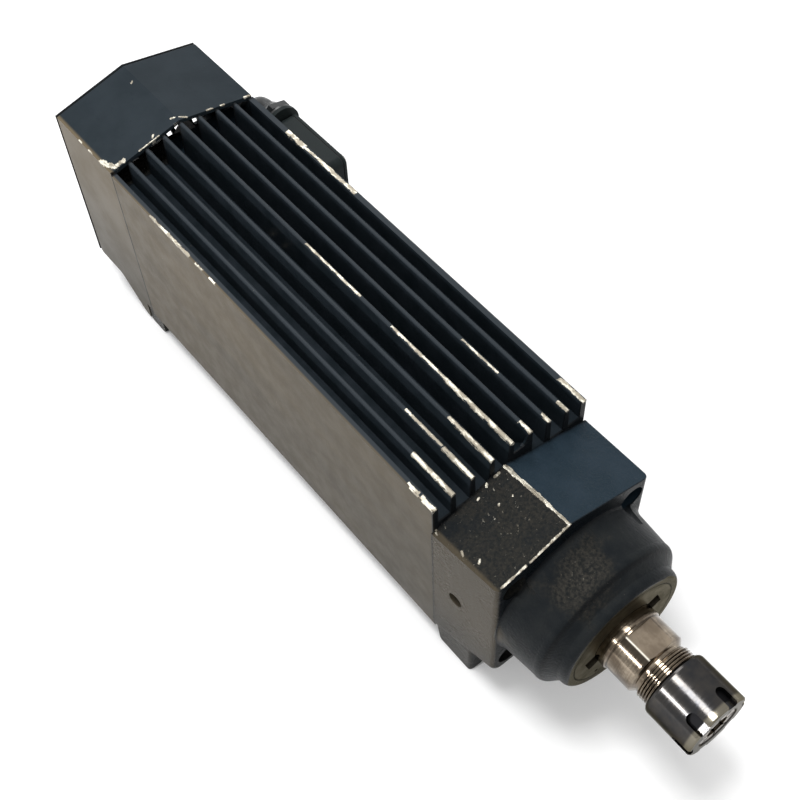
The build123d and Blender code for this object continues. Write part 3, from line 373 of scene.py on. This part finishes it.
# Wear on the front housing: from, to, half width.
HOUSING_CHIPS = (
    ((-10.6, -3.6, 42.2), (13, -3.6, 44.8), 1.5), ((13, -3.6, 44.8), (23.5, -3.9, 45.6), 1.0),
    ((23.4, -4, 45.4), (23.4, -22, 39.6), 1.0), ((23.2, -24, 39), (22.8, -34.7, 35), 0.9),
    ((-10.2, -6.9, 41.2), (-10.2, -9, 40.6), 0.9), ((-10.3, -12.5, 39.2), (-9.6, -13.4, 39.1), 0.9),
    ((-8.5, -17.9, 37.6), (-8.2, -18.6, 37.5), 0.9), ((0.1, -9.3, 41.4), (0.3, -9.6, 41.4), 0.8),
    ((-1.2, -14.8, 39.4), (-0.9, -15.2, 39.4), 0.8), ((2.3, -35.2, 32.8), (4.0, -36.2, 32.8), 0.9),
    ((9.4, -32.9, 34.3), (10.2, -34.0, 34.1), 0.8), ((-11, -36, 31), (-9, -37, 30.7), 1.2),
)


def cast_paint():
    """The same paint over a casting: smooth on one roof side, rough on the other and the snout."""
    net = Net("m_cast_paint")
    lumps = net.noise(1.2, 5.0, 0.7)
    patch = net.noise(14.0, 4.0, 0.6)
    on_roof = net.ramp(net.x, HOUSING_FRONT + 0.4, HOUSING_FRONT - 0.4)
    on_snout = net.ramp(net.x, HOUSING_FRONT - 0.4, HOUSING_FRONT + 0.4)
    rough_side = net.any_of(net.ramp(net.y, -3.2, -4.0), on_snout)
    navy = net.mix(net.ramp(patch, 0.35, 0.65), (0.009, 0.011, 0.013), (0.016, 0.018, 0.019))
    # the smooth roof side is tinted teal as a painted sky reflection
    teal = net.mix(net.ramp(patch, 0.35, 0.65), (0.015, 0.026, 0.036), (0.019, 0.031, 0.043))
    ash = net.mix(net.spread(lumps), (0.011, 0.013, 0.014), (0.031, 0.029, 0.025))
    # brow: more rough skin on top of the snout, and a painted sheen with glints there
    brow = net.all_of(net.near(net.angle, BROW_TURN, 0.62), net.near(net.x, BROW_X, 17.0))
    bias = net.math("ADD", net.some(on_roof, 0.30), net.some(brow, 0.5))
    worn = net.ramp(net.math("ADD", patch, bias), 0.58, 0.78)
    color = net.mix(rough_side, teal, net.mix(worn, navy, ash))
    color = net.mix(net.all_of(brow, worn, net.ramp(lumps, 0.42, 0.68)), color, (0.046, 0.043, 0.038))
    face = net.all_of(net.near(net.x, HOUSING_FRONT, 0.8), net.ramp(net.radius, SNOUT_R - 0.4, SNOUT_R + 0.4))
    # dust with a painted warm reflection on the smooth side, more of it higher up
    side = net.ramp(net.y, -HALF_W + 2.2, -HALF_W + 0.8)
    color = net.mix(net.all_of(side, net.ramp(net.z, -55.0, -5.0, 0.08, 0.38)), color, DUST_AND_REFLECTION)
    # the block's front face round the snout is painted dark as shade, a little lighter towards the bottom
    low = net.ramp(net.z, -10.0, -45.0)
    color = net.mix(face, color, net.mix(low, (0.004, 0.006, 0.008), (0.016, 0.017, 0.014)))

    # dirt in the joint at the body seam, and painted shade in the snout's crease and where the snout leaves
    # the block
    seams_and_shade = net.any_of(
        net.near(net.x, BODY_FRONT, 1.6),
        net.all_of(net.line(net.x, CREASE_X, 1.1), net.near(net.radius, CREASE_R, 2.0)),
        net.all_of(net.near(net.x, HOUSING_FRONT, 1.2), net.near(net.radius, SNOUT_R, 1.6)))
    color = net.mix(net.some(seams_and_shade, 0.85), color, GRIME_AND_SHADE)

    # chips, and glints of metal in the rough skin
    mark = net.strokes(HOUSING_CHIPS)
    sparse = net.blend(net.any_of(on_roof, brow), 0.69, 0.62)
    speck = net.math("SUBTRACT", net.noise(1.7, 5.0, 0.8), sparse)
    glints = net.all_of(rough_side, net.ramp(speck, 0.0, 0.04), net.ramp(net.z, 15.0, 26.0))
    chip = net.any_of(net.torn(mark), net.some(glints, 0.5))
    color = net.bare(chip, color)

    # the front face is bare up to an uneven edge of paint
    towards = net.math("COSINE", net.math("SUBTRACT", net.angle, PAINTED_TURN))
    paint_edge = net.math("ADD", towards, net.some(net.math("SUBTRACT", patch, 0.5), 0.8))
    bare_to = net.ramp(paint_edge, 0.2, 0.6, FACE_R + 0.6, FACE_R - 0.7)
    bare = net.all_of(net.ramp(net.x, FACE_X - 0.6, FACE_X - 0.3),
                      net.ramp(net.math("SUBTRACT", bare_to, net.radius), -0.1, 0.1))
    olive = net.mix(net.spread(patch), (0.060, 0.056, 0.043), (0.115, 0.106, 0.082))
    color = net.mix(bare, color, olive)
    inside = net.all_of(net.ramp(net.radius, BORE_R + 0.4, BORE_R), net.ramp(net.x, 20.0, 24.0))
    color = net.mix(inside, color, (0.30, 0.28, 0.24))
    ring_gap = net.all_of(net.line(net.radius, BORE_R, 0.5), net.ramp(net.x, FACE_X - 1.6, FACE_X - 1.0))
    color = net.mix(ring_gap, color, GRIME_AND_SHADE)
    net.set(color=color, spec=PAINT_SPECULAR, tint=OIL_TINT)
    net.set(metal=net.any_of(bare, inside, net.some(chip, CHIP_METAL)))
    smooth = net.spread(patch, 0.30, 0.40)
    net.set(rough=net.blend(worn, smooth, 0.27))
    grit = net.math("ADD", lumps, net.some(net.noise(0.7, 3.0, 0.7), 0.35))
    cast = net.all_of(grit, net.blend(net.all_of(rough_side, worn), 0.4, 1.0))
    net.bump(net.math("SUBTRACT", cast, net.some(chip, 0.4)), 0.9, 0.8)
    return net.mat


# Wear on the fan cover: from, to, half width. The roof falls 8.1 in 37 to each side.
COVER_CHIPS = (
    ((-236, -36.5, 46.2), (-229, -34, 46.6), 2.4), ((-229, -34, 46.6), (-229, -29, 47.8), 2.0),
    ((-227.6, -21.5, 49.4), (-227.6, -11, 51.6), 0.7), ((-231, -2, 53.6), (-227.6, 4, 53.2), 1.0),
    ((-227.6, 14, 51.0), (-227.6, 17, 50.4), 0.8), ((-227.6, 21, 49.5), (-227.6, 23, 49.0), 0.8),
    ((-227.6, 34, 46.6), (-227.6, 37, 46.2), 1.4), ((-254, -36.8, 46), (-252, -37, 46), 0.9),
    ((-262.4, -2.2, 53.6), (-261.8, -3.0, 53.5), 0.8), ((-230, -12.6, 51.3), (-229, -13.4, 51.1), 1.0),
    ((-246, -36.9, 46), (-243, -37, 46), 0.8),
)


def cover_paint():
    """Blue-grey paint on the sheet cover, with painted shade along its rolled rear edge."""
    net = Net("m_cover_paint")
    cloud = net.noise(22.0, 5.0, 0.6)
    fine = net.noise(2.6, 3.0)
    color = net.mix(net.spread(cloud), (0.015, 0.021, 0.026), (0.020, 0.027, 0.033))
    color = net.mix(net.ramp(fine, 0.62, 0.76, 0.0, 0.35), color, (0.010, 0.014, 0.018))
    # dust with a painted warm reflection on the smooth side, more of it higher up
    side = net.ramp(net.y, -HALF_W + 2.4, -HALF_W + 0.9)
    low = net.ramp(net.z, -48.0, 45.0, 0.42, 0.88)
    color = net.mix(net.all_of(side, low), color, DUST_AND_REFLECTION)
    # painted shade along the rolled rear edge, dark on its bead too; dirt in the joint at the front
    rear = net.ramp(net.x, COVER_REAR + 1.4, COVER_REAR + 0.6)
    front = net.line(net.x, BODY_REAR, 1.2)
    seam_and_shade = net.any_of(rear, net.all_of(front, side))
    color = net.mix(net.some(seam_and_shade, 0.92), color, GRIME_AND_SHADE)
    mark = net.strokes(COVER_CHIPS)
    scuff = net.all_of(net.near(net.x, BODY_REAR - 0.6, 0.8), net.ramp(net.noise(4.0, 5.0, 0.7), 0.62, 0.7))
    chip = net.any_of(net.torn(mark), net.some(scuff, 0.5))
    color = net.bare(chip, color)
    net.set(color=color, spec=PAINT_SPECULAR, metal=net.some(chip, CHIP_METAL))
    net.set(rough=net.blend(chip, net.spread(cloud, 0.32, 0.44), CHIP_ROUGH))
    net.bump(net.math("SUBTRACT", net.noise(0.8, 2.0), net.some(chip, 1.5)), 0.2, 0.1)
    return net.mat


def box_paint():
    """Grey-green paint on the terminal box and its lid, with a few pale specks."""
    net = Net("m_box_paint")
    cloud = net.noise(16.0, 5.0, 0.6)
    color = net.mix(net.spread(cloud), (0.012, 0.016, 0.017), (0.019, 0.024, 0.024))
    speck = net.ramp(net.noise(3.0, 5.0, 0.75), 0.70, 0.75)
    color = net.mix(net.some(speck, 0.35), color, (0.18, 0.17, 0.15))
    net.set(color=color, spec=PAINT_SPECULAR, rough=net.spread(cloud, 0.36, 0.5))
    net.bump(net.noise(0.9, 3.0), 0.25, 0.12)
    return net.mat


# -------------------------------------------------------------------- metal
def turned(net, size=0.45):
    """Fine lines around the axis, as a lathe leaves them."""
    rings = net.join(net.x, net.some(net.angle, 0.25), net.radius)
    return net.noise(size, 2.0, 0.5, coord=rings)


def shaft_steel():
    """Ground steel with an oil-brown tone, bright on the collar, with a painted highlight on the flat's edge
    and a painted dark reflection beside it.
    """
    net = Net("m_shaft_steel")
    lines = turned(net)
    stain = net.noise(7.0, 4.0, 0.65, (0.6, 1.0, 1.0))
    steel = net.mix(net.spread(lines), (0.20, 0.165, 0.125), (0.29, 0.245, 0.19))
    brown = net.ramp(stain, 0.36, 0.62)
    color = net.mix(net.some(brown, 0.75), steel, BRONZE)
    # the upper wrench flat: its face, a painted dark reflection beside it and a painted highlight on its edge
    edge = math.acos(FLAT_DIST / NOSE_R)
    top = math.pi / 2 + FLAT_TURN
    along = net.all_of(net.ramp(net.x, FLAT_FROM - 0.6, FLAT_FROM), net.ramp(net.x, FLAT_TO + 0.6, FLAT_TO))
    out = net.math("MULTIPLY", net.radius, net.math("COSINE", net.math("SUBTRACT", net.angle, top)))
    flat = net.all_of(along, net.near(out, FLAT_DIST, 0.12))
    color = net.mix(net.some(flat, 0.85), color,
                    net.mix(net.spread(stain), (0.27, 0.22, 0.165), (0.17, 0.135, 0.10)))
    # painted dark reflection in a band beside the flat
    band = net.all_of(along, net.ramp(net.angle, top + edge, top + edge + 0.05),
                      net.ramp(net.angle, top + edge + 0.34, top + edge + 0.22))
    color = net.mix(net.some(band, 0.85), color, (0.030, 0.024, 0.018))
    # painted highlight on the flat's edge
    edge_highlight = net.all_of(along, net.near(net.angle, top + edge, 0.045))
    color = net.mix(edge_highlight, color, (0.85, 0.80, 0.70))
    inner = net.ramp(net.x, FACE_X - 2.0, FACE_X - 6.0)
    color = net.mix(inner, color, (0.42, 0.40, 0.37))
    # painted shade in the groove between the collar and the flats
    groove = net.near(net.x, COLLAR_GROOVE, 0.5)
    color = net.mix(net.some(groove, 0.8), color, (0.02, 0.016, 0.012))
    rough = net.blend(flat, net.spread(lines, 0.10, 0.18), 0.30)
    net.set(color=color, metal=1.0, rough=rough)
    net.bump(lines, 0.15, 0.02)
    return net.mat


def machined_steel():
    """Olive-brown machined face of the bearing ring nut, with painted shade in its slots."""
    net = Net("m_machined_steel")
    lines = turned(net, 0.7)
    stain = net.noise(9.0, 4.0, 0.65)
    color = net.mix(net.ramp(stain, 0.35, 0.68), (0.135, 0.124, 0.095), (0.065, 0.059, 0.045))
    color = net.mix(net.ramp(lines, 0.55, 0.75, 0.0, 0.5), color, (0.22, 0.20, 0.16))
    # painted shade on whatever lies deeper than the face, as in the slots
    deep = net.ramp(net.x, FACE_X - 0.9, FACE_X - 1.6)
    color = net.mix(net.some(deep, 0.5), color, (0.05, 0.046, 0.036))
    edge = net.near(net.radius, RING_R, 0.35)
    color = net.mix(net.some(edge, 0.85), color, (0.014, 0.013, 0.011))
    net.set(color=color, metal=1.0, tint=OIL_TINT, rough=net.spread(stain, 0.28, 0.42))
    net.bump(lines, 0.25, 0.05)
    return net.mat


def blued_steel():
    """Black oxide on the nut, rubbed paler on its front rim, with painted shade in its slots."""
    net = Net("m_blued_steel")
    lines = turned(net, 0.5)
    cloud = net.noise(8.0, 4.0, 0.6)
    color = net.mix(net.spread(cloud), (0.032, 0.033, 0.036), (0.056, 0.052, 0.048))
    rim = net.all_of(net.ramp(net.x, NUT_FRONT - 1.6, NUT_FRONT - 0.4),
                     net.ramp(net.radius, NUT_RIM_R - 0.3, NUT_RIM_R + 0.3))
    color = net.mix(net.some(rim, 0.7), color, (0.22, 0.20, 0.155))
    # painted shade in the spanner slots, also rougher there
    slot = net.all_of(net.ramp(net.radius, NUT_SLOT_R + 0.5, NUT_SLOT_R),
                      net.ramp(net.x, NUT_FRONT - 0.6, NUT_FRONT - 1.2))
    color = net.mix(slot, color, (0.012, 0.012, 0.013))
    net.set(color=color, metal=1.0, tint=OIL_TINT)
    net.set(rough=net.blend(slot, net.spread(lines, 0.13, 0.22), 0.5))
    net.bump(lines, 0.2, 0.02)
    return net.mat


def collet_steel():
    """Hardened collet steel, dark bronze with oil, brighter on the rim of its bore."""
    net = Net("m_collet_steel")
    lines = turned(net, 0.5)
    stain = net.noise(3.0, 4.0, 0.6)
    color = net.mix(net.ramp(stain, 0.35, 0.65), (0.16, 0.125, 0.09), (0.07, 0.052, 0.036))
    rim = net.near(net.radius, COLLET_RIM_R, 0.5)
    color = net.mix(net.some(rim, 0.6), color, (0.42, 0.36, 0.28))
    net.set(color=color, metal=1.0, rough=net.spread(lines, 0.22, 0.34))
    net.bump(lines, 0.25, 0.03)
    return net.mat


def plain(name, color, rough, metal=0.0):
    """A finish with slight cloudiness and fine grain, for small and inner pieces."""
    net = Net("m_" + name)
    dark = tuple(0.62 * c for c in color)
    worn = net.ramp(net.noise(5.0, 4.0, 0.65), 0.62, 0.72, 0.0, 0.3)
    pale = tuple(min(1.0, 1.6 * c + 0.01) for c in color)
    color = net.mix(worn, net.mix(net.ramp(net.noise(11.0), 0.35, 0.65), dark, color), pale)
    net.set(color=color, metal=metal)
    net.set(rough=net.spread(net.noise(4.0), 0.8 * rough, 1.2 * rough))
    net.bump(net.noise(0.6, 2.0), 0.2, 0.08)
    return net.mat


# Small and inner pieces: colour, roughness, metallic.
SMALL_PARTS = {
    "clip_steel": ((0.3, 0.3, 0.3), 0.4, 1.0),
    "bearing_steel": ((0.6, 0.6, 0.6), 0.2, 1.0),
    "bearing_balls_steel": ((0.7, 0.7, 0.7), 0.1, 1.0),
    "cage_resin": ((0.2, 0.1, 0.04), 0.6, 0.0),
    "lamination_steel": ((0.2, 0.2, 0.2), 0.5, 1.0),
    "winding_copper": ((0.35, 0.12, 0.04), 0.4, 0.6),
    "rotor_aluminium": ((0.6, 0.6, 0.6), 0.4, 1.0),
    "balance_steel": ((0.35, 0.35, 0.35), 0.35, 1.0),
    "screw_steel": ((0.06, 0.06, 0.06), 0.35, 1.0),
    "zinc_steel": ((0.45, 0.45, 0.43), 0.35, 1.0),
    "spring_steel": ((0.2, 0.2, 0.22), 0.35, 1.0),
    "seal_rubber": ((0.01, 0.01, 0.01), 0.7, 0.0),
    "boot_rubber": ((0.018, 0.020, 0.021), 0.45, 0.0),
    "gland_plastic": ((0.018, 0.020, 0.021), 0.3, 0.0),
    "fan_plastic": ((0.01, 0.01, 0.01), 0.5, 0.0),
    "block_plastic": ((0.02, 0.02, 0.02), 0.5, 0.0),
    "stud_brass": ((0.7, 0.5, 0.2), 0.3, 1.0),
}


def dress_nodes():
    """A material on every CAD node, by the slot that the record names."""
    mats = {name: plain(name, *look) for name, look in SMALL_PARTS.items()}
    for make in (housing_paint, cast_paint, cover_paint, box_paint, shaft_steel, machined_steel,
                 blued_steel, collet_steel):
        mats[make.__name__] = make()
    slot_of = {p["node"]: p["material_slot"] for p in frame["record"]["subparts"]}
    for node, obj in frame["nodes"].items():
        obj.data.materials.clear()
        obj.data.materials.append(mats[slot_of[node]])
    return mats


# -------------------------------------------------------------------- stage
FLOOR_HALF = 3.0         # metres
FLOOR_Z = -0.0005
FLOOR_GREY = (0.6, 0.6, 0.6)     # as it lights the object
SHADOW_REACH = 450.0     # mm; beyond it the floor fades into the white world
WORLD_LIGHT = 0.55       # on the object
SEEN_WHITE = 1.0         # as the camera, glossy and transmitted rays see it
LAMP_AIM = Vector((-60.0, 0.0, AXIS_Z)) * MM


def seen_directly(tree):
    """1 for camera, glossy and transmission rays."""
    paths = tree.nodes.new("ShaderNodeLightPath")
    total = paths.outputs["Is Camera Ray"]
    for key in ("Is Glossy Ray", "Is Transmission Ray"):
        either = tree.nodes.new("ShaderNodeMath")
        either.operation = "MAXIMUM"
        tree.links.new(total, either.inputs[0])
        tree.links.new(paths.outputs[key], either.inputs[1])
        total = either.outputs[0]
    return total


def make_stage():
    """A white floor and world, a small key lamp above the nose and two weak fills."""
    floor_net = Net("floor_white")
    seen = seen_directly(floor_net.tree)
    floor_net.set(color=floor_net.mix(seen, FLOOR_GREY, WHITE), rough=0.9)
    away = floor_net.ramp(floor_net.vec("LENGTH", floor_net.at), SHADOW_REACH, 2 * SHADOW_REACH)
    floor_net.set(glow_color=WHITE, glow=floor_net.all_of(seen, away))
    mesh = bpy.data.meshes.new("floor")
    corners = [(x * FLOOR_HALF, y * FLOOR_HALF, 0) for x, y in ((-1, -1), (1, -1), (1, 1), (-1, 1))]
    mesh.from_pydata(corners, [], [(0, 1, 2, 3)])
    mesh.materials.append(floor_net.mat)
    floor = add_object("floor", mesh)
    floor.location.z = FLOOR_Z

    world = bpy.data.worlds.new("world")
    bpy.context.scene.world = world
    world.use_nodes = True
    tree = world.node_tree
    back = tree.nodes["Background"]
    back.inputs["Color"].default_value = (*WHITE, 1.0)
    level = tree.nodes.new("ShaderNodeMapRange")
    level.inputs["To Min"].default_value = WORLD_LIGHT
    level.inputs["To Max"].default_value = SEEN_WHITE
    tree.links.new(seen_directly(tree), level.inputs["Value"])
    tree.links.new(level.outputs["Result"], back.inputs["Strength"])

    lamp("key", (-0.12, -0.16, 1.15), 0.30, 7.0)
    lamp("side", (-0.11, -0.92, 0.63), 0.10, 4.0)
    lamp("rear", (-0.75, 0.35, 0.95), 0.5, 4.0)


def lamp(name, at, size, power):
    """A square lamp that points at LAMP_AIM, in metres and watts."""
    data = bpy.data.lights.new(name, "AREA")
    data.energy = power
    data.size = size
    obj = add_object(name, data)
    obj.location = at
    aim = LAMP_AIM - Vector(at)
    obj.rotation_euler = aim.to_track_quat("-Z", "Y").to_euler()


# ------------------------------------------------------- cover's rolled edge
def cover_edge(mats):
    """A thin rolled bead on the cover's rear edge: up one side, over the roof and down the other."""
    curve = bpy.data.curves.new("bead_path", "CURVE")
    curve.dimensions = "3D"
    curve.bevel_depth = BEAD_R * MM
    curve.bevel_resolution = 3
    curve.use_fill_caps = True
    side = COVER_HALF_W - 0.5
    eave = COVER_EAVE - 0.6
    heel = COVER_HEEL + 1
    outline = ((-side, heel), (-side, eave), (0, COVER_RIDGE - BEAD_R), (side, eave), (side, heel))
    spline = curve.splines.new("POLY")
    spline.points.add(len(outline) - 1)
    for point, (y, z) in zip(spline.points, outline):
        point.co = (*(Vector((COVER_REAR - 0.2, y, AXIS_Z + z)) * MM), 1.0)
    path = add_object("bead_path", curve)
    mesh = bpy.data.meshes.new_from_object(path.evaluated_get(bpy.context.evaluated_depsgraph_get()))
    bpy.data.objects.remove(path)
    obj = add_object("cover_edge", mesh)
    mesh.materials.clear()
    mesh.materials.append(mats["cover_paint"])
    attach(obj, "motor_body")


# -------------------------------------------------------------- nose thread
def nose_thread(mats):
    """A right-hand 60 degree thread on the plain core, fading in and out at its ends."""
    total = int((THREAD_TO - THREAD_FROM) / THREAD_PITCH * THREAD_STEPS)
    flat = THREAD_PITCH / 8
    half = THREAD_PITCH * 0.44
    sunk = THREAD_ROOT - 0.1
    bm = bmesh.new()
    rows = []
    for i in range(total + 1):
        turns = i / THREAD_STEPS
        x = THREAD_FROM + turns * THREAD_PITCH
        a = 2 * math.pi * turns
        fade = min(1.0, 2 * turns, 2 * (total - i) / THREAD_STEPS)
        crest = THREAD_ROOT + fade * (THREAD_CREST - THREAD_ROOT)
        row = []
        for dx, r in ((-half, sunk), (-flat / 2, crest), (flat / 2, crest), (half, sunk)):
            at = Vector((x + dx, r * math.cos(a), AXIS_Z + r * math.sin(a)))
            row.append(bm.verts.new(at * MM))
        rows.append(row)
    for one, two in zip(rows, rows[1:]):
        for k in range(3):
            bm.faces.new((one[k], one[k + 1], two[k + 1], two[k]))
    bm.faces.new(rows[0])
    bm.faces.new(reversed(rows[-1]))
    bmesh.ops.recalc_face_normals(bm, faces=bm.faces)
    mesh = bpy.data.meshes.new("nose_thread")
    bm.to_mesh(mesh)
    bm.free()
    obj = add_object("nose_thread", mesh)
    mesh.materials.append(mats["shaft_steel"])
    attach(obj, "spindle")


bpy.context.scene.view_settings.view_transform = "Standard"
make_camera()
materials = dress_nodes()
nose_thread(materials)
cover_edge(materials)
make_stage()
